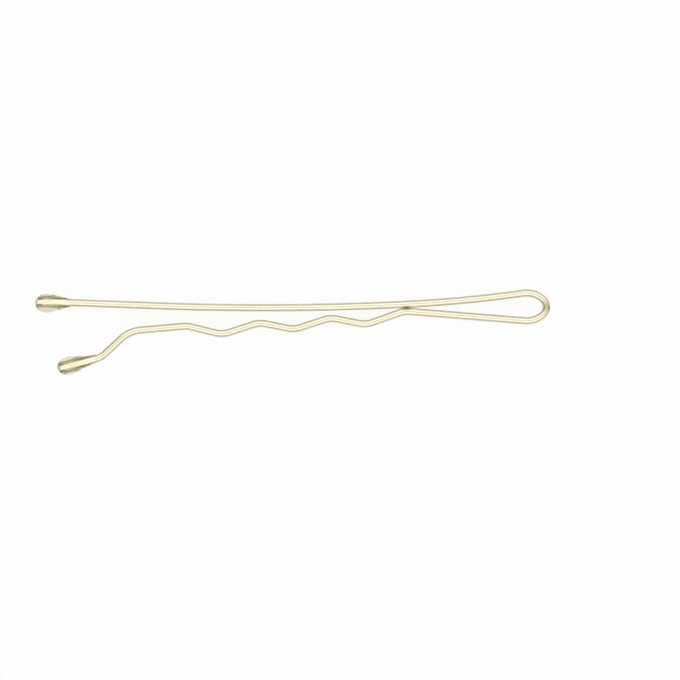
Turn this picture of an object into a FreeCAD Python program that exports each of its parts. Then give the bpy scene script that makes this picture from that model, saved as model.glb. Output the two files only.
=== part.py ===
import FreeCAD, Part
import Sketcher
import math
import os
from itertools import pairwise

# A bobby pin: one flat-rolled wire bent into a straight leg, a bow and a crimped leg, with resin-dipped tips.
# X runs from the tips to the bow, Y across the legs with the straight leg above, Z across the wire's width.
# Lengths are millimetres and angles are degrees. Bends are measured to the wire's centre line.

sizes = (
    ("overall_length", 51.0),  # bead end of the straight leg to the outside of the bow
    ("wire_thickness", 0.72),  # flat to flat
    ("wire_width", 1.4),  # round edge to round edge
    ("bow_height", 2.76),
    ("shoulder_radius", 2.4),
    ("nose_radius", 1.05),
    ("rise_angle", 8.0),  # turn of the straight leg as it leaves the bow
    ("near_sweep_radius", 128.0),
    ("near_sweep_angle", 5.15),
    ("far_sweep_radius", 287.0),
    ("far_sweep_angle", 4.95),
    ("grip_distance", 11.8),  # bow to the crest that presses on the straight leg
    ("leg_gap", 0.05),  # clearance between that crest and the straight leg
    ("crimp_radius", 2.6),
    ("crimp_pitch", 7.05),
    ("crimp_fall", 0.48),  # drop of the crimped leg over one pitch
    ("valley_lag", 4.35),  # grip crest to the first valley
    ("valley_drop", 0.3),  # first valley below the lower end of the bow
    ("crest_share", 0.4468),  # share of the pitch from a valley to the crest after it
    ("crest_rise", 0.52),  # height of that crest over its valley
    ("last_crest_lag", 3.6),  # last valley to the crest before the straight run
    ("last_crest_rise", 0.72),
    ("run_least", 2.0),  # shortest straight run that is left before the kick
    ("run_angle", 5.0),  # slope of that run
    ("kick_radius", 3.4),
    ("kick_angle", 43.0),
    ("kick_run", 2.07),
    ("flare_radius", 2.25),
    ("flare_angle", 13.5),  # slope of the tip after the kick
    ("flare_run", 3.6),
    ("tip_setback", 2.2),  # how much shorter the crimped leg is
    ("straight_bead_diameter", 1.83),
    ("crimped_bead_diameter", 1.7),
    ("bead_length", 3.5),
    ("bead_bluntness", 0.1),  # how much smaller the bead's nose radius is than its largest radius
    ("bead_belly_radius", 1.7),
    ("bead_cover", 0.25),  # resin beyond the end of the wire
    ("bead_lip", 0.05),  # edge of the resin where it ends on the wire
)

# A sketch's own numbers for its axes, its origin, and the points of a line or an arc
axis = {"horizontal": -1, "vertical": -2}
origin_point = (-1, 1)
start, end, centre = range(1, 4)

side = {"left": 1, "right": -1}  # sign of a turn
vec = FreeCAD.Vector
up = vec(0, 0, 1)

doc = FreeCAD.newDocument("bobby_pin")
sheet = doc.addObject("Spreadsheet::Sheet", "dims")
for row, (alias, number) in enumerate(sizes, 1):
    sheet.set(f"A{row}", alias)
    sheet.set(f"B{row}", str(number))
    sheet.setAlias(f"B{row}", alias)
doc.recompute()

# Lengths that follow from the driving ones
bead_hold = "(dims.bead_length - dims.bead_cover)"
bow_reach = (
    "(sqrt((dims.shoulder_radius - dims.nose_radius)^2 - (dims.shoulder_radius - dims.bow_height / 2)^2)"
    " + dims.nose_radius + dims.wire_thickness / 2)"
)
straight_slope = "(dims.rise_angle - dims.near_sweep_angle - dims.far_sweep_angle)"
straight_reach = f"(dims.overall_length - {bow_reach} - dims.bead_cover * cos({straight_slope}))"
crimped_reach = (
    f"(dims.overall_length - {bow_reach} - dims.tip_setback - dims.bead_cover * cos(dims.flare_angle))"
)
tip_length = (
    "(dims.kick_radius * (sin(dims.kick_angle) - sin(dims.run_angle)) + dims.kick_run * cos(dims.kick_angle)"
    " + dims.flare_radius * (sin(dims.kick_angle) - sin(dims.flare_angle))"
    " + dims.flare_run * cos(dims.flare_angle))"
)

# Centre of the straight leg's near sweep, from the lower end of the bow, and the grip crest's distance to it
sweep_arm = "(dims.shoulder_radius + dims.near_sweep_radius)"
sweep_left = f"{sweep_arm} * sin(dims.rise_angle)"
sweep_height = f"dims.bow_height - dims.shoulder_radius + {sweep_arm} * cos(dims.rise_angle)"
grip_clear = "dims.near_sweep_radius + dims.crimp_radius + dims.wire_thickness + dims.leg_gap"


def value(expression):
    return float(sheet.evalExpression(expression))


def turned(angle):
    return vec(math.cos(math.radians(angle)), math.sin(math.radians(angle)), 0)


def new_body(label):
    body = doc.addObject("PartDesign::Body", label)
    body.Label = label
    return body


def new_sketch(body, name, role):
    sketch = body.newObject("Sketcher::SketchObject", name)
    plane = next(feature for feature in body.Origin.OriginFeatures if feature.Role == role)
    sketch.AttachmentSupport = [(plane, "")]
    sketch.MapMode = "FlatFace"
    return sketch


def constrain(sketch, kind, *elements):
    sketch.addConstraint(Sketcher.Constraint(kind, *elements))


def dimension(sketch, kind, elements, expression):
    number = value(expression)
    if kind == "Angle":
        number = math.radians(number)
    index = sketch.addConstraint(Sketcher.Constraint(kind, *elements, number))
    sketch.setExpression(f"Constraints[{index}]", expression)


class WirePath:
    # The wire's centre line as runs and bends, each tangent to the one before, from the sketch's origin

    def __init__(self, sketch, heading):
        self.sketch = sketch
        self.heading = heading
        self.point = vec(0, 0, 0)
        self.last = None

    def add(self, geometry, first, second):
        index = self.sketch.addGeometry(geometry)
        if self.last:
            constrain(self.sketch, "Tangent", *self.last, index, first)
        else:
            constrain(self.sketch, "Coincident", index, first, *origin_point)
        self.last = (index, second)
        return index

    def run(self, length):
        finish = self.point + turned(self.heading) * length
        index = self.add(Part.LineSegment(self.point, finish), start, end)
        self.point = finish
        return index

    def bend(self, radius, turn):
        # An arc's own points go anticlockwise, so a right turn follows it from its end to its start
        quarter = math.copysign(90, turn)
        middle = self.point + turned(self.heading + quarter) * radius
        before = self.heading - quarter
        after = before + turn
        low, high = sorted((math.radians(before), math.radians(after)))
        arc = Part.ArcOfCircle(Part.Circle(middle, up, radius), low, high)
        index = self.add(arc, *((start, end) if turn > 0 else (end, start)))
        self.heading += turn
        self.point = middle + turned(after) * radius
        return index

    def sized_bend(self, radius, turn, way):
        index = self.bend(value(radius), side[way] * value(turn))
        dimension(self.sketch, "Radius", (index,), radius)
        dimension(self.sketch, "Angle", (index,), turn)
        return index

    def wrap(self, pegs):
        # Bends round each peg and runs straight to touch the next one; a peg is its centre, radius and side
        bends = []
        for (middle, radius, way), (next_middle, next_radius, next_way) in pairwise(pegs):
            between = next_middle - middle
            shift = side[next_way] * next_radius - side[way] * radius
            heading = math.atan2(between.y, between.x) - math.asin(shift / between.Length)
            bends.append(self.bend(radius, math.degrees(heading) % 360 - self.heading))
            self.run(math.sqrt(between.Length**2 - shift**2))
        return bends


def wire_section(body, name):
    # Flat-rolled wire: two flats joined by two full-round edges
    sketch = new_sketch(body, name, "YZ_Plane")
    half = value("dims.wire_thickness / 2")
    flat = value("dims.wire_width / 2") - half
    sketch.addGeometry(Part.LineSegment(vec(half, -flat, 0), vec(half, flat, 0)))
    sketch.addGeometry(Part.ArcOfCircle(Part.Circle(vec(0, flat, 0), up, half), 0, math.pi))
    sketch.addGeometry(Part.LineSegment(vec(-half, flat, 0), vec(-half, -flat, 0)))
    sketch.addGeometry(Part.ArcOfCircle(Part.Circle(vec(0, -flat, 0), up, half), math.pi, 2 * math.pi))
    for index in range(4):
        constrain(sketch, "Tangent", index, end, (index + 1) % 4, start)
    constrain(sketch, "Vertical", 0)
    constrain(sketch, "PointOnObject", 1, centre, axis["vertical"])
    constrain(sketch, "Symmetric", 3, centre, 1, centre, *origin_point)
    dimension(sketch, "Radius", (1,), "dims.wire_thickness / 2")
    dimension(sketch, "DistanceY", (3, centre, 1, centre), "dims.wire_width - dims.wire_thickness")
    return sketch


def wire_piece(label, draw_path):
    body = new_body(label)
    section = wire_section(body, f"{label}_section")
    sketch = new_sketch(body, f"{label}_path", "XY_Plane")
    path = draw_path(sketch)
    doc.recompute()
    pipe = body.newObject("PartDesign::AdditivePipe", f"{label}_wire")
    pipe.Profile = section
    pipe.Spine = (sketch, [f"Edge{number}" for number in range(1, len(sketch.Shape.Edges) + 1)])
    pipe.Refine = False
    return body, path


def bow_path(sketch):
    # From the upper end round to the lower end, both level: shoulder, nose, shoulder
    path = WirePath(sketch, 0)
    shoulder = value("dims.shoulder_radius")
    nose = value("dims.nose_radius")
    sweep = math.degrees(math.acos((shoulder - value("dims.bow_height / 2")) / (shoulder - nose)))
    upper = path.bend(shoulder, -sweep)
    tip = path.bend(nose, 2 * sweep - 180)
    lower = path.bend(shoulder, -sweep)
    constrain(sketch, "PointOnObject", upper, centre, axis["vertical"])
    constrain(sketch, "PointOnObject", lower, centre, axis["vertical"])
    constrain(sketch, "PointOnObject", lower, start, axis["vertical"])
    constrain(sketch, "Equal", upper, lower)
    dimension(sketch, "Radius", (upper,), "dims.shoulder_radius")
    dimension(sketch, "Radius", (tip,), "dims.nose_radius")
    dimension(sketch, "DistanceY", (lower, start, *origin_point), "dims.bow_height")
    return path


def straight_path(sketch):
    # From the upper end of the bow: down off the shoulder, level in two long sweeps, then straight to the tip.
    # The stretch that the bead holds is a run of its own, so the flat outside it ends at the bead.
    path = WirePath(sketch, 180)
    shoulder = path.sized_bend("dims.shoulder_radius", "dims.rise_angle", "left")
    constrain(sketch, "PointOnObject", shoulder, centre, axis["vertical"])
    path.sized_bend("dims.near_sweep_radius", "dims.near_sweep_angle", "right")
    path.sized_bend("dims.far_sweep_radius", "dims.far_sweep_angle", "right")
    path.run((value(straight_reach) + path.point.x) / -turned(path.heading).x - value(bead_hold))
    tip = path.run(value(bead_hold))
    dimension(sketch, "Distance", (tip,), bead_hold)
    dimension(sketch, "DistanceX", (tip, end, *origin_point), straight_reach)
    return path


def crimp_pegs():
    # Valleys and crests in turn: distance from the bow, height or depth of the peg's centre, and its side.
    # There are as many valleys as the leg has room for, and the last crest leads into the straight run.
    first = "dims.grip_distance + dims.valley_lag"
    room = f"({crimped_reach} - {tip_length} - ({first}) - dims.last_crest_lag - dims.run_least)"
    valley_count = 1 + int(value(f"{room} / dims.crimp_pitch"))
    lag, rise = "dims.crest_share * dims.crimp_pitch", "dims.crest_rise"
    pegs = []
    for number in range(valley_count):
        if number == valley_count - 1:
            lag, rise = "dims.last_crest_lag", "dims.last_crest_rise"
        along = f"{first} + {number} * dims.crimp_pitch"
        drop = f"dims.valley_drop + {number} * dims.crimp_fall"
        pegs.append((along, f"dims.crimp_radius - ({drop})", "right"))
        pegs.append((f"{along} + {lag}", f"dims.crimp_radius + {drop} - {rise}", "left"))
    return pegs


def crimped_path(sketch):
    # From the lower end of the bow: up to the grip crest, through the crimps, then a kick down and a flare
    path = WirePath(sketch, 180)
    crimp = value("dims.crimp_radius")
    shoulder = value("dims.shoulder_radius")
    sweep_centre = vec(-value(sweep_left), value(sweep_height), 0)
    across = value(f"{sweep_left} - dims.grip_distance")
    grip_middle = sweep_centre + vec(across, -math.sqrt(value(grip_clear) ** 2 - across**2), 0)
    crimps = crimp_pegs()
    pegs = [(vec(0, shoulder, 0), shoulder, "right"), (grip_middle, crimp, "left")]
    for along, height, way in crimps:
        pegs.append((vec(-value(along), -side[way] * value(height), 0), crimp, way))
    bends = path.wrap(pegs)

    # The straight run takes up what the kick and the flared tip leave
    names = ("run", "kick", "flare")
    slopes = [value(f"dims.{name}_angle") for name in names]
    bends.append(path.bend(crimp, 180 + slopes[0] - path.heading))
    runs = [path.run((value(f"{crimped_reach} - {tip_length}") + path.point.x) / turned(slopes[0]).x)]
    turns = []
    for name, before, after in zip(names[1:], slopes, slopes[1:]):
        turns.append(path.bend(value(f"dims.{name}_radius"), after - before))
        runs.append(path.run(value(f"dims.{name}_run")))

    first, grip = bends[:2]
    clear = sketch.addGeometry(Part.LineSegment(sweep_centre, grip_middle), True)
    constrain(sketch, "PointOnObject", first, centre, axis["vertical"])
    constrain(sketch, "Coincident", clear, end, grip, centre)
    dimension(sketch, "Radius", (first,), "dims.shoulder_radius")
    dimension(sketch, "Radius", (grip,), "dims.crimp_radius")
    dimension(sketch, "DistanceX", (grip, centre, *origin_point), "dims.grip_distance")
    dimension(sketch, "DistanceX", (clear, start, *origin_point), sweep_left)
    dimension(sketch, "DistanceY", (*origin_point, clear, start), sweep_height)
    dimension(sketch, "Distance", (clear,), grip_clear)
    for bend, (along, height, way) in zip(bends[2:], crimps):
        upright = (*origin_point, bend, centre) if way == "right" else (bend, centre, *origin_point)
        dimension(sketch, "Radius", (bend,), "dims.crimp_radius")
        dimension(sketch, "DistanceX", (bend, centre, *origin_point), along)
        dimension(sketch, "DistanceY", upright, height)
    for name, run in zip(names, runs):
        dimension(sketch, "Angle", (run,), f"180 + dims.{name}_angle")
    for name, turn, run in zip(names[1:], turns, runs[1:]):
        dimension(sketch, "Radius", (turn,), f"dims.{name}_radius")
        dimension(sketch, "Distance", (run,), f"dims.{name}_run")
    dimension(sketch, "DistanceX", (runs[-1], end, *origin_point), crimped_reach)
    return path


def bead_outline(sketch, diameter):
    # Half of a drop along X from its outer end: round nose, full belly, taper to the lip, then the axis
    nose_radius = f"{diameter} / 2 - dims.bead_bluntness"
    belly_depth = f"dims.bead_belly_radius - {diameter} / 2"
    lip_radius = "dims.wire_thickness / 2 + dims.bead_lip"
    nose = value(nose_radius)
    belly = value("dims.bead_belly_radius")
    depth = value(belly_depth)
    nose_middle = vec(nose, 0, 0)
    belly_middle = vec(nose + math.sqrt((belly - nose) ** 2 - depth**2), -depth, 0)
    lip = vec(value("dims.bead_length"), value(lip_radius), 0)
    foot = vec(lip.x, 0, 0)
    to_nose = nose_middle - belly_middle
    to_lip = lip - belly_middle
    meet = math.atan2(to_nose.y, to_nose.x)
    leave = math.atan2(to_lip.y, to_lip.x) + math.acos(belly / to_lip.Length)
    taper_start = belly_middle + turned(math.degrees(leave)) * belly
    sketch.addGeometry(Part.ArcOfCircle(Part.Circle(nose_middle, up, nose), meet, math.pi))
    sketch.addGeometry(Part.ArcOfCircle(Part.Circle(belly_middle, up, belly), leave, meet))
    sketch.addGeometry(Part.LineSegment(taper_start, lip))
    sketch.addGeometry(Part.LineSegment(lip, foot))
    sketch.addGeometry(Part.LineSegment(foot, vec(0, 0, 0)))
    constrain(sketch, "Coincident", 0, end, *origin_point)
    constrain(sketch, "PointOnObject", 0, centre, axis["horizontal"])
    constrain(sketch, "Tangent", 0, start, 1, end)
    constrain(sketch, "Tangent", 1, start, 2, start)
    constrain(sketch, "Coincident", 2, end, 3, start)
    constrain(sketch, "Vertical", 3)
    constrain(sketch, "Coincident", 3, end, 4, start)
    constrain(sketch, "Coincident", 4, end, *origin_point)
    constrain(sketch, "Horizontal", 4)
    dimension(sketch, "Radius", (0,), nose_radius)
    dimension(sketch, "Radius", (1,), "dims.bead_belly_radius")
    dimension(sketch, "DistanceY", (1, centre, *origin_point), belly_depth)
    dimension(sketch, "DistanceX", (*origin_point, 3, start), "dims.bead_length")
    dimension(sketch, "DistanceY", (3, end, 3, start), lip_radius)


def tip_bead(label, diameter):
    # A dipped drop with the wire's own section bored into it from the lip
    body = new_body(label)
    outline = new_sketch(body, f"{label}_outline", "XY_Plane")
    bead_outline(outline, diameter)
    drop = body.newObject("PartDesign::Revolution", f"{label}_drop")
    drop.Profile = outline
    drop.ReferenceAxis = (outline, ["H_Axis"])
    drop.Angle = 360
    doc.recompute()
    drop_volume = body.Shape.Volume
    section = wire_section(body, f"{label}_bore_section")
    section.setExpression("AttachmentOffset.Base.z", "dims.bead_cover")
    bore = body.newObject("PartDesign::Pocket", f"{label}_bore")
    bore.Profile = section
    bore.Type = "ThroughAll"
    bore.Reversed = True
    doc.recompute()
    if body.Shape.Volume >= drop_volume:
        raise RuntimeError(f"{label}: the bore cut nothing")
    return body


def place_bead(bead, origin, path):
    # The bead's own X points back along the wire
    outer_end = origin + path.point + turned(path.heading) * value("dims.bead_cover")
    bead.Placement = FreeCAD.Placement(outer_end, FreeCAD.Rotation(up, path.heading - 180))


bow, _ = wire_piece("bow", bow_path)
straight_leg, straight_line = wire_piece("straight_leg", straight_path)
crimped_leg, crimped_line = wire_piece("crimped_leg", crimped_path)
straight_bead = tip_bead("straight_tip_bead", "dims.straight_bead_diameter")
crimped_bead = tip_bead("crimped_tip_bead", "dims.crimped_bead_diameter")
pieces = (bow, straight_leg, crimped_leg, straight_bead, crimped_bead)

upper_end = vec(0, value("dims.bow_height / 2"), 0)
lower_end = -upper_end
bow.Placement.Base = upper_end
straight_leg.Placement.Base = upper_end
crimped_leg.Placement.Base = lower_end
place_bead(straight_bead, upper_end, straight_line)
place_bead(crimped_bead, lower_end, crimped_line)
doc.recompute()

# The part's origin is under the middle of its box
box = FreeCAD.BoundBox()
for piece in pieces:
    box.add(piece.Shape.optimalBoundingBox(False, False))
to_origin = vec(-box.Center.x, -box.Center.y, -box.ZMin)
for piece in pieces:
    piece.Placement.Base = piece.Placement.Base + to_origin
doc.recompute()

for item in doc.Objects:
    if "Invalid" in item.State or "Error" in item.State:
        raise RuntimeError(f"{item.Label} failed: {item.State}")
for piece in pieces:
    if piece.Shape.isNull() or not piece.Shape.isValid() or len(piece.Shape.Solids) != 1:
        raise RuntimeError(f"{piece.Label} has no sound solid")

os.makedirs("parts", exist_ok=True)
for piece in pieces:
    piece.Shape.exportStep(f"parts/{piece.Label}.step")
    print(piece.Label, "volume", round(piece.Shape.Volume, 4))

# Places that the joints and mounts use
half_wire = vec(0, value("dims.wire_thickness / 2"), 0)
print("upper flex", upper_end + half_wire + to_origin)
print("lower flex", lower_end - half_wire + to_origin)
print("straight tip", straight_bead.Placement.Base, "heading", straight_line.heading)
print("crimped tip", crimped_bead.Placement.Base, "heading", crimped_line.heading)
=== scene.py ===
import math

import bmesh
import bpy
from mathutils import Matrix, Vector


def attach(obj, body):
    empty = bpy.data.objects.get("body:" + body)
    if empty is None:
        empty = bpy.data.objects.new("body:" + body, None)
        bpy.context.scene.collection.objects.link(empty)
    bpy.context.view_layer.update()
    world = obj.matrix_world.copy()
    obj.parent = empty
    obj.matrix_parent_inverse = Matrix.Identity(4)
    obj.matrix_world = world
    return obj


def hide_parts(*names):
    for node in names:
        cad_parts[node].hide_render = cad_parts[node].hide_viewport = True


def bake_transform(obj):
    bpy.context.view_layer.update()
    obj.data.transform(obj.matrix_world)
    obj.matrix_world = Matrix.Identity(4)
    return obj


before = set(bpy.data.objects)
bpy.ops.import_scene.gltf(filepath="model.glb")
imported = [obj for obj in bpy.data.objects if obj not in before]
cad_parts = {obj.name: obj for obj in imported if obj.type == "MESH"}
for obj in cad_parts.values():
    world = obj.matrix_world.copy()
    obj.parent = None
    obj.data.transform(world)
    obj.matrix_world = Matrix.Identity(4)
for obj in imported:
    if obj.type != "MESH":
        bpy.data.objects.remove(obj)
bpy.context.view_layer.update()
mm = 0.001
scene = bpy.context.scene
scene.view_settings.view_transform = "Standard"
print("frame loaded:", ", ".join(sorted(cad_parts)))


# a socket that takes part in sums: a + b on two of them adds a Math node
class Value:
    def __init__(self, finish, socket):
        self.finish = finish
        self.socket = socket

    def math(self, operation, first, second):
        return self.finish.add("ShaderNodeMath", {"operation": operation}, {0: first, 1: second})

    def __add__(self, other):
        return self.math("ADD", self, other)

    def __sub__(self, other):
        return self.math("SUBTRACT", self, other)

    def __mul__(self, other):
        return self.math("MULTIPLY", self, other)

    def __rsub__(self, other):
        return self.math("SUBTRACT", other, self)

    __radd__ = __add__
    __rmul__ = __mul__


# the nodes of a material, or of the world
class Finish:
    def __init__(self, holder):
        self.holder = holder
        holder.use_nodes = True
        self.tree = holder.node_tree
        self.tree.nodes.clear()

    # settings first, then numbers and links into the sockets
    def add(self, kind, settings={}, sockets={}, output=0):
        node = self.tree.nodes.new(kind)
        for name, setting in settings.items():
            setattr(node, name, setting)
        for name, given in sockets.items():
            if isinstance(given, Value):
                self.tree.links.new(given.socket, node.inputs[name])
            else:
                node.inputs[name].default_value = given
        return Value(self, node.outputs[output]) if node.outputs else node

    # sockets 6 and 7 and output 2 of the node are those for colours
    def mix(self, share, first, second):
        sockets = {"Factor": share, 6: first, 7: second}
        return self.add("ShaderNodeMix", {"data_type": "RGBA"}, sockets, 2)

    # the sum of shares, each counted for one kind of ray
    def seenBy(self, shares):
        rays = [self.add("ShaderNodeLightPath", {}, {}, f"Is {kind} Ray") for kind in shares]
        return sum(ray * share for ray, share in zip(rays, shares.values()))

    def vector(self, operation, first, second):
        return self.add("ShaderNodeVectorMath", {"operation": operation}, {0: first, 1: second})

    # from 0 to 1 as the value goes from start to end
    def ramp(self, value, start, end):
        sockets = {"Value": value, "From Min": start, "From Max": end}
        return self.add("ShaderNodeMapRange", {"interpolation_type": "SMOOTHSTEP"}, sockets)

    def noise(self, place, stretch, detail=2.0):
        stretched = self.vector("MULTIPLY", place, stretch)
        return self.add("ShaderNodeTexNoise", {}, {"Vector": stretched, "Scale": 1.0, "Detail": detail})


# pale champagne-gold lacquer on drawn wire
# its patterns are laid on the wire as it was before it was bent
lacquer = {
    "paleGold": (0.82, 0.76, 0.56, 1),
    "deepGoldAndFlankShade": (0.715, 0.655, 0.5, 1),  # painted shade on the flanks of the round edges, and the dark end of the random tone
    "shoulder": (0.3 * mm, 0.44 * mm),  # painted flank shade, from the middle of the width: starts, full
    "shoulderEnd": (0.54 * mm, 0.63 * mm),  # painted flank shade starts to fade, gone again
    "edgeTint": (0.4, 0.4, 0.4, 1),
    # painted light: share of white in the wire's look where it mirrors itself, by the kind of ray that
    # sees it; it lifts the edges that face the other leg
    "paintedMirrorLight": {"Glossy": 0.8, "Transmission": -0.8},
    "paintedMirrorWhite": (1, 1, 1, 1),
    "coat": 0.4,
    "coatRoughness": 0.08,
    "drawLines": (300, 14000, 14000),  # per metre: long along the wire, fine across it
    "clouds": (350, 900, 900),
    "cloudDetail": 3.0,
    "peel": (9000, 9000, 9000),
    "peelDepth": 0.004 * mm,
    "peelStrength": 0.4,
    "peelShares": {"peel": 0.6, "lines": 0.4},
    "toneShares": {"clouds": 0.3, "lines": 0.2},
    "toneShift": 0.25,  # keeps the patterns' mean near the pale gold
    "roughnessShares": {"clouds": 0.06, "lines": 0.12},
    "leastRoughness": 0.1,
    "noseShadeGold": (0.84, 0.735, 0.48, 1),
    "noseShadeReach": (24.1 * mm, 25.0 * mm),  # painted shade: a warmer tan gold on the tight bend of the nose
    "paintedShadeShares": {"even": 0.6, "lines": 0.6},
    # colour, middle, stretch, full painted shade within the first distance, none beyond the second
    "paintedShadeSpots": [
        # painted shadow where the legs touch, at the grip crest on the straight leg
        ((0.29, 0.24, 0.1, 1), (11.3 * mm, 2.33 * mm, 0), (0.36, 1, 0), 0.06 * mm, 0.3 * mm),
        # painted shade on the outside of the nose
        ((0.29, 0.25, 0.18, 1), (25.5 * mm, 2.3 * mm, 0), (1, 0.6, 0), 0.06 * mm, 0.24 * mm),
    ],
}


def makeLacquer():
    finish = Finish(bpy.data.materials.new("champagneLacquer"))
    unbent = finish.add("ShaderNodeAttribute", {"attribute_name": "unbent"}, {}, "Vector")
    lines = finish.noise(unbent, lacquer["drawLines"])
    clouds = finish.noise(unbent, lacquer["clouds"], lacquer["cloudDetail"])
    peel = finish.noise(unbent, lacquer["peel"])
    height = finish.add("ShaderNodeSeparateXYZ", {}, {"Vector": unbent}, "Z")
    height = finish.add("ShaderNodeMath", {"operation": "ABSOLUTE"}, {0: height})
    faded = finish.ramp(height, *lacquer["shoulderEnd"])
    # painted shade: the flanks of the round edges turn deeper gold, standing in for the dark edges that
    # reflections give
    shoulder = finish.ramp(height, *lacquer["shoulder"]) * (1 - faded)
    shares = lacquer["toneShares"]
    toneAndFlankShade = shoulder + clouds * shares["clouds"] + lines * shares["lines"] - lacquer["toneShift"]
    colour = finish.mix(toneAndFlankShade, lacquer["paleGold"], lacquer["deepGoldAndFlankShade"])
    place = finish.add("ShaderNodeTexCoord", {}, {}, "Object")
    forward = finish.add("ShaderNodeSeparateXYZ", {}, {"Vector": place}, "X")
    # painted shade: the nose turns tan gold
    colour = finish.mix(finish.ramp(forward, *lacquer["noseShadeReach"]), colour, lacquer["noseShadeGold"])
    # painted shade spots: darker brown patches laid on where the legs touch and on the nose
    shares = lacquer["paintedShadeShares"]
    for shadeBrown, middle, stretch, near, far in lacquer["paintedShadeSpots"]:
        offset = finish.vector("SUBTRACT", place, middle)
        offset = finish.vector("MULTIPLY", offset, stretch)
        away = finish.add("ShaderNodeVectorMath", {"operation": "LENGTH"}, {0: offset}, "Value")
        paintedShade = (1 - finish.ramp(away, near, far)) * (shares["even"] + shares["lines"] * lines)
        colour = finish.mix(paintedShade, colour, shadeBrown)
    # painted light: the wire's colour goes white in its own reflections
    colour = finish.mix(finish.seenBy(lacquer["paintedMirrorLight"]), colour, lacquer["paintedMirrorWhite"])
    shares = lacquer["peelShares"]
    bump = {
        "Strength": lacquer["peelStrength"],
        "Distance": lacquer["peelDepth"],
        "Height": peel * shares["peel"] + lines * shares["lines"],
    }
    shares = lacquer["roughnessShares"]
    roughness = lines * shares["lines"] + clouds * shares["clouds"] + lacquer["leastRoughness"]
    shader = finish.add(
        "ShaderNodeBsdfPrincipled",
        {},
        {
            "Base Color": colour,
            "Metallic": 1.0,
            "Specular Tint": lacquer["edgeTint"],
            "Roughness": roughness,
            "Normal": finish.add("ShaderNodeBump", {}, bump),
            "Coat Weight": lacquer["coat"],
            "Coat Roughness": lacquer["coatRoughness"],
        },
    )
    finish.add("ShaderNodeOutputMaterial", {}, {"Surface": shader})
    return finish.holder


# clear resin, faintly amber where it is thick
resin = {
    "surface": (1.0, 0.99, 0.97, 1),
    "smoky": (0.97, 0.95, 0.9, 1),
    "refraction": 1.37,
    "leastRoughness": 0.01,
    "amber": (0.60, 0.45, 0.08, 1),
    "density": 400,  # per metre
    "ripple": (900, 900, 900),  # per metre
    "rippleDepth": 0.01 * mm,
    "rippleStrength": 0.3,
    "rippleRoughness": 0.04,
    "bounces": 32,  # light goes round inside a bead many times before it comes out
}


def makeResin():
    finish = Finish(bpy.data.materials.new("amberResin"))
    place = finish.add("ShaderNodeTexCoord", {}, {}, "Object")
    ripple = finish.noise(place, resin["ripple"])
    bump = {"Strength": resin["rippleStrength"], "Distance": resin["rippleDepth"], "Height": ripple}
    shader = finish.add(
        "ShaderNodeBsdfPrincipled",
        {},
        {
            "Base Color": finish.mix(ripple, resin["surface"], resin["smoky"]),
            "Roughness": ripple * resin["rippleRoughness"] + resin["leastRoughness"],
            "Normal": finish.add("ShaderNodeBump", {}, bump),
            "IOR": resin["refraction"],
            "Transmission Weight": 1.0,
        },
    )
    tint = {"Color": resin["amber"], "Density": resin["density"]}
    depth = finish.add("ShaderNodeVolumeAbsorption", {}, tint)
    finish.add("ShaderNodeOutputMaterial", {}, {"Surface": shader, "Volume": depth})
    for limit in ("max_bounces", "transmission_bounces", "glossy_bounces"):
        setattr(scene.cycles, limit, resin["bounces"])
    return finish.holder


champagneLacquer = makeLacquer()
amberResin = makeResin()
print("finishes made")


# flat-rolled wire with full-round edges, in millimetres and degrees
wire = {
    "thickness": 0.72,
    "width": 1.4,
    "edgeSegments": 8,  # to a quarter of the round edge
    "height": 0.915,  # middle of the width over the floor
    "bendStep": 1.0,  # most turn of a bend from one ring to the next
    "ringStep": 1.0,  # most length of a bend from one ring to the next
    "hold": 0.15,  # rings close to the ends of a straight run keep its shading flat
    "cutSegments": 3,
    "sharpFrom": 30,  # a steeper edge is shaded sharp
    "merge": 0.0001,  # points closer than this become one
}


def direction(heading):
    return Vector((math.cos(math.radians(heading)), math.sin(math.radians(heading)), 0))


def startWire(name, place, heading):
    bpy.ops.object.select_all(action="DESELECT")
    point = Vector((*place, wire["height"])) * mm
    turned = (math.radians(90), 0, math.radians(heading + 90))
    bpy.ops.mesh.primitive_plane_add(size=1, location=point, rotation=turned)
    piece = bpy.context.object
    piece.name = piece.data.name = name
    piece.scale = (wire["thickness"] * mm, wire["width"] * mm, 1)
    bpy.ops.object.transform_apply(location=True, rotation=True, scale=True)
    # rounding the four corners by half the thickness makes the short sides half circles
    bpy.ops.object.mode_set(mode="EDIT")
    half = wire["thickness"] / 2 * mm
    bpy.ops.mesh.bevel(offset=half, segments=wire["edgeSegments"], affect="VERTICES")
    bpy.ops.mesh.select_all(action="SELECT")
    bpy.ops.mesh.remove_doubles(threshold=wire["merge"] * mm)
    bpy.ops.mesh.delete(type="ONLY_FACE")
    # through object mode, so that the ring's own points come first in the mesh
    bpy.ops.object.mode_set(mode="OBJECT")
    bpy.ops.object.mode_set(mode="EDIT")
    bpy.ops.mesh.select_mode(type="EDGE")
    bpy.ops.mesh.select_all(action="SELECT")
    rings = [(0, point, heading)]  # each ring's way along the wire, its middle and its heading
    return {"piece": piece, "point": point, "heading": heading, "along": 0, "rings": rings}


def runStraight(line, length):
    hold = wire["hold"]
    for part in (hold, length - 2 * hold, hold):
        step = direction(line["heading"]) * part * mm
        bpy.ops.mesh.extrude_region_move(TRANSFORM_OT_translate={"value": step})
        line["point"] = line["point"] + step
        line["along"] += part * mm
        line["rings"].append((line["along"], line["point"], line["heading"]))


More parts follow.
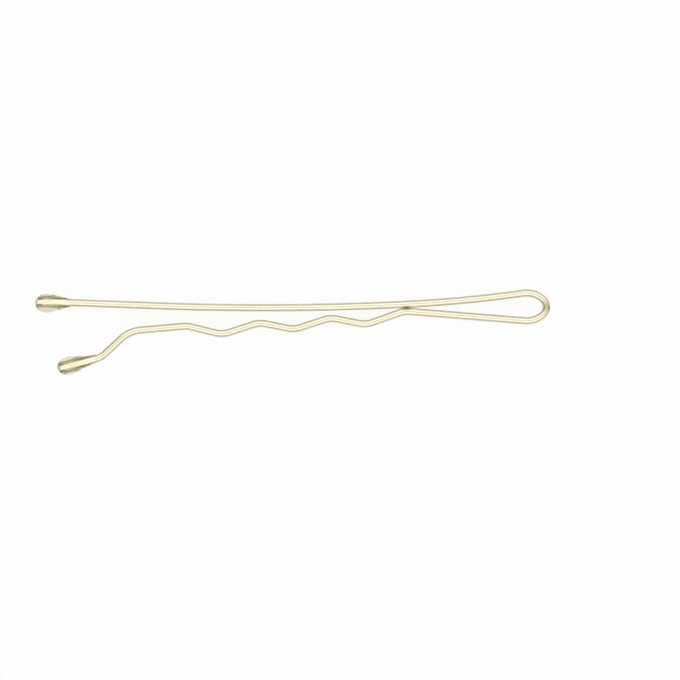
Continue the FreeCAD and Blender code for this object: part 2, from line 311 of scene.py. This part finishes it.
def bendWire(line, radius, turn):
    quarter = math.copysign(90, turn)
    arm = direction(line["heading"] - quarter) * radius * mm
    centre = line["point"] - arm
    length = radius * math.radians(abs(turn))
    steps = math.ceil(max(abs(turn) / wire["bendStep"], length / wire["ringStep"]))
    bpy.ops.mesh.spin(steps=steps, angle=-math.radians(turn), center=centre, axis=(0, 0, 1))
    start, begun = line["heading"], line["along"]
    for step in range(1, steps + 1):
        share = step / steps
        line["heading"] = start + turn * share
        line["along"] = begun + length * share * mm
        line["point"] = centre + direction(line["heading"] - quarter) * radius * mm
        line["rings"].append((line["along"], line["point"], line["heading"]))


def selectRing(piece, number, ringSize):
    mesh = bmesh.from_edit_mesh(piece.data)
    mesh.verts.ensure_lookup_table()
    bpy.ops.mesh.select_all(action="DESELECT")
    for vertex in mesh.verts[number * ringSize:(number + 1) * ringSize]:
        vertex.select_set(True)
    mesh.select_flush(True)
    bmesh.update_edit_mesh(piece.data)


def endWire(line, cutEdge=0):
    piece, rings = line["piece"], line["rings"]
    ringSize = len(bmesh.from_edit_mesh(piece.data).verts) // len(rings)
    bpy.ops.object.mode_set(mode="OBJECT")
    # each point's place on the wire before bending: along it, across its thickness, across its width
    unbent = piece.data.attributes.new("unbent", "FLOAT_VECTOR", "POINT")
    for vertex in piece.data.vertices:
        along, centre, heading = rings[vertex.index // ringSize]
        offset = vertex.co - centre
        unbent.data[vertex.index].vector = (along, offset.dot(direction(heading + 90)), offset.z)
    # both ends are closed, and the cut end loses its sharp edge
    bpy.ops.object.mode_set(mode="EDIT")
    bpy.ops.mesh.select_mode(type="VERT")
    selectRing(piece, 0, ringSize)
    bpy.ops.mesh.edge_face_add()
    selectRing(piece, len(rings) - 1, ringSize)
    bpy.ops.mesh.edge_face_add()
    if cutEdge:
        bpy.ops.mesh.bevel(offset=cutEdge * mm, segments=wire["cutSegments"], affect="EDGES")
    bpy.ops.mesh.select_all(action="SELECT")
    bpy.ops.mesh.remove_doubles(threshold=wire["merge"] * mm)
    bpy.ops.mesh.normals_make_consistent(inside=False)
    bpy.ops.object.mode_set(mode="OBJECT")
    bpy.ops.object.shade_smooth_by_angle(angle=math.radians(wire["sharpFrom"]))
    piece.data.materials.append(champagneLacquer)
    return piece


def bentWire(name, shape):
    line = startWire(name, shape["start"], shape["heading"])
    for radius, turn, run in shape["bends"]:
        bendWire(line, radius, turn)
        if run:
            runStraight(line, run)
    return endWire(line, shape.get("cutEdge", 0))


# where the legs meet the bow
legRoots = {"upper": (23.205909, 3.832343), "lower": (23.205909, 1.072343)}

# each bend is its radius, its turn to the left in degrees, and the straight run after it
straightLeg = {
    "start": legRoots["upper"],
    "heading": 180,
    "bends": [(2.4, 8, 0), (128, -5.15, 0), (287, -4.95, 8.6), (60, 2.3, 1.0)],
    "cutEdge": 0.15,
}

crimpedLeg = {
    "start": legRoots["lower"],
    "heading": 180,
    "bends": [
        (2.4, -4.54, 11.42689),
        (2.6, 23.87733, 2.79923),  # grip crest, against the straight leg
        (2.6, -30.46663, 2.18736),
        (2.6, 29.13824, 2.41049),
        (2.6, -29.13824, 2.18736),
        (2.6, 29.13824, 2.41049),
        (2.6, -31.58798, 2.44753),
        (2.6, 18.579, 4.15561),
        (3.4, 38, 2.12),  # kick
        (2.25, -28.4, 3.657),  # flared tip
    ],
    "cutEdge": 0.15,
}

# the bow's two halves meet at its nose
upperBow = {
    "leg": "straight_leg",
    "start": legRoots["upper"],
    "heading": 0,
    "bends": [(2.4, -40.92606, 0), (1.05, -49.07394, 0)],
}

lowerBow = {
    "leg": "crimped_leg",
    "start": legRoots["lower"],
    "heading": 0,
    "bends": [(2.4, 40.92606, 0), (1.05, 49.07394, 0)],
}

straightWire = bentWire("straightLegWire", straightLeg)
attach(straightWire, "straight_leg")
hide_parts("straight_leg")

crimpedWire = bentWire("crimpedLegWire", crimpedLeg)
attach(crimpedWire, "crimped_leg")
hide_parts("crimped_leg")

# the bow is bent as two halves, each from its leg's root round to the nose, and the frame's bow is
# hidden
for name, shape in (("upperBowWire", upperBow), ("lowerBowWire", lowerBow)):
    half = bentWire(name, shape)
    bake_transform(half)
    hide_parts("bow")
print("wire bent:", [len(piece.data.polygons) for piece in (straightWire, crimpedWire)], "faces")


# dipped drops; a station is the distance from the drop's end, half its depth and half its height
straightBead = {
    "end": (-25.499726, 2.795),
    "turn": 1.1,
    "stations": [
        (3.8, 0.26, 0.6),  # inside the wire
        (3.65, 0.37, 0.69),
        (3.45, 0.405, 0.7),
        (3.2, 0.465, 0.715),
        (2.8, 0.575, 0.74),
        (2.4, 0.69, 0.78),
        (2.0, 0.8, 0.835),
        (1.65, 0.89, 0.88),
        (1.15, 0.96, 0.922),
        (0.8, 0.92, 0.88),
        (0.5, 0.81, 0.775),
        (0.24, 0.63, 0.6),
        (0.08, 0.375, 0.36),
        (0.0, 0.15, 0.15),
    ],
}

# its neck runs up into the bend of the tip
crimpedBead = {
    "end": (-23.299726, -3.661),
    "turn": 14.6,
    "stations": [
        (4.45, 0.24, 0.6),  # inside the wire
        (4.25, 0.37, 0.69),
        (3.87, 0.415, 0.7),
        (3.55, 0.447, 0.71),
        (3.24, 0.492, 0.72),
        (2.93, 0.546, 0.735),
        (2.6, 0.615, 0.76),
        (2.3, 0.685, 0.79),
        (2.0, 0.76, 0.83),
        (1.65, 0.848, 0.866),
        (1.24, 0.91, 0.9),
        (0.85, 0.87, 0.86),
        (0.5, 0.76, 0.75),
        (0.24, 0.588, 0.58),
        (0.08, 0.355, 0.35),
        (0.0, 0.15, 0.15),
    ],
}

beadRound = {"sides": 32, "endInset": 0.07, "smoothLevels": 2}


def dipBead(name, bead):
    bpy.ops.object.select_all(action="DESELECT")
    neck, depth, height = bead["stations"][0]
    middle, across = (neck * mm, 0, 0), (0, math.radians(90), 0)
    sides = beadRound["sides"]
    bpy.ops.mesh.primitive_circle_add(vertices=sides, radius=mm, location=middle, rotation=across)
    piece = bpy.context.object
    piece.name = piece.data.name = name
    bpy.ops.object.transform_apply(location=True, rotation=True, scale=True)
    bpy.ops.object.mode_set(mode="EDIT")
    bpy.ops.mesh.select_mode(type="EDGE")
    bpy.ops.mesh.select_all(action="SELECT")
    bpy.ops.transform.resize(value=(1, depth, height), center_override=middle)
    place, size = neck, (depth, height)
    for distance, depth, height in bead["stations"][1:]:
        step = ((distance - place) * mm, 0, 0)
        bpy.ops.mesh.extrude_region_move(TRANSFORM_OT_translate={"value": step})
        growth = (1, depth / size[0], height / size[1])
        bpy.ops.transform.resize(value=growth, center_override=(distance * mm, 0, 0))
        place, size = distance, (depth, height)
    bpy.ops.mesh.edge_face_add()
    bpy.ops.mesh.inset(thickness=beadRound["endInset"] * mm)
    # the neck is closed inside the wire
    bpy.ops.mesh.select_mode(type="VERT")
    selectRing(piece, 0, sides)
    bpy.ops.mesh.edge_face_add()
    bpy.ops.mesh.select_all(action="SELECT")
    bpy.ops.mesh.normals_make_consistent(inside=False)
    bpy.ops.object.mode_set(mode="OBJECT")
    piece.rotation_euler.z = math.radians(bead["turn"])
    piece.location = Vector((*bead["end"], wire["height"])) * mm
    bpy.ops.object.transform_apply(location=True, rotation=True, scale=True)
    smooth = piece.modifiers.new("smooth", "SUBSURF")
    smooth.levels = smooth.render_levels = beadRound["smoothLevels"]
    bpy.ops.object.modifier_apply(modifier=smooth.name)
    bpy.ops.object.shade_smooth()
    piece.data.materials.append(amberResin)
    return piece


straightDrop = dipBead("straightTipDrop", straightBead)
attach(straightDrop, "straight_leg")
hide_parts("straight_tip_bead")
crimpedDrop = dipBead("crimpedTipDrop", crimpedBead)
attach(crimpedDrop, "crimped_leg")
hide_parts("crimped_tip_bead")
print("beads dipped")


# white floor, two long softboxes beside the pin, pale surroundings that darken towards the horizon
# its sizes are in metres
studio = {
    "floor": (0.95, 0.95, 0.95, 1),
    "white": (1, 1, 1, 1),
    "floorSize": 8,
    "floorDrop": 0.02 * mm,
    # share of the floor's look that takes no shadow, by the kind of ray that sees it
    "floorGlow": {"Camera": 0.92, "Transmission": 0.92, "Glossy": 0.7},
    "boxPower": 16.5,
    "boxSize": (3.5, 2.2),
    "boxDistance": 2.0,
    "boxShift": 0.25,  # towards the bow
    "boxLean": 40,  # degrees from straight up
    "horizon": (0.3, 0.3, 0.3, 1),
    "overhead": (0.72, 0.72, 0.72, 1),
    "skyGlow": {"Transmission": 0.75},  # the beads show a white room
}


def makeFloor():
    bpy.ops.object.select_all(action="DESELECT")
    bpy.ops.mesh.primitive_plane_add(size=studio["floorSize"], location=(0, 0, -studio["floorDrop"]))
    floor = bpy.context.object
    floor.name = "floor"
    finish = Finish(bpy.data.materials.new("paper"))
    paper = finish.add("ShaderNodeBsdfDiffuse", {}, {"Color": studio["floor"]})
    white = finish.add("ShaderNodeEmission", {}, {"Color": studio["white"], "Strength": 1.0})
    glow = finish.seenBy(studio["floorGlow"])
    shader = finish.add("ShaderNodeMixShader", {}, {0: glow, 1: paper, 2: white})
    finish.add("ShaderNodeOutputMaterial", {}, {"Surface": shader})
    floor.data.materials.append(finish.holder)


def addSoftbox(name, side):
    lean = math.radians(studio["boxLean"]) * side
    away = studio["boxDistance"]
    place = (studio["boxShift"], math.sin(lean) * away, math.cos(lean) * away)
    bpy.ops.object.light_add(type="AREA", location=place)
    box = bpy.context.object
    box.name = name
    box.rotation_euler.x = -lean
    box.data.shape = "RECTANGLE"
    box.data.size, box.data.size_y = studio["boxSize"]
    box.data.energy = studio["boxPower"]
    box.visible_camera = False


def makeSky():
    sky = Finish(bpy.data.worlds.new("studioSky"))
    place = sky.add("ShaderNodeTexCoord", {}, {}, "Generated")
    height = sky.add("ShaderNodeSeparateXYZ", {}, {"Vector": place}, "Z")
    colour = sky.mix(height, studio["horizon"], studio["overhead"])
    colour = sky.mix(sky.seenBy(studio["skyGlow"]), colour, studio["white"])
    background = sky.add("ShaderNodeBackground", {}, {"Color": colour})
    sky.add("ShaderNodeOutputWorld", {}, {"Surface": background})
    scene.world = sky.holder


makeFloor()
addSoftbox("softboxFar", 1)
addSoftbox("softboxNear", -1)
makeSky()
print("studio lit")


# straight down on the pin with a long lens, framed as in the photograph
view = {
    "centre": (4.695, -0.83),
    "across": 67.38,
    "lens": 300,
    "sensor": 36,
    "clip": (0.01, 20),  # metres
}
distance = view["across"] / 2 / (view["sensor"] / 2 / view["lens"])
bpy.ops.object.camera_add(location=Vector((*view["centre"], wire["height"] + distance)) * mm)
camera = bpy.context.object
camera.data.lens = view["lens"]
camera.data.sensor_width = view["sensor"]
camera.data.clip_start, camera.data.clip_end = view["clip"]
scene.camera = camera
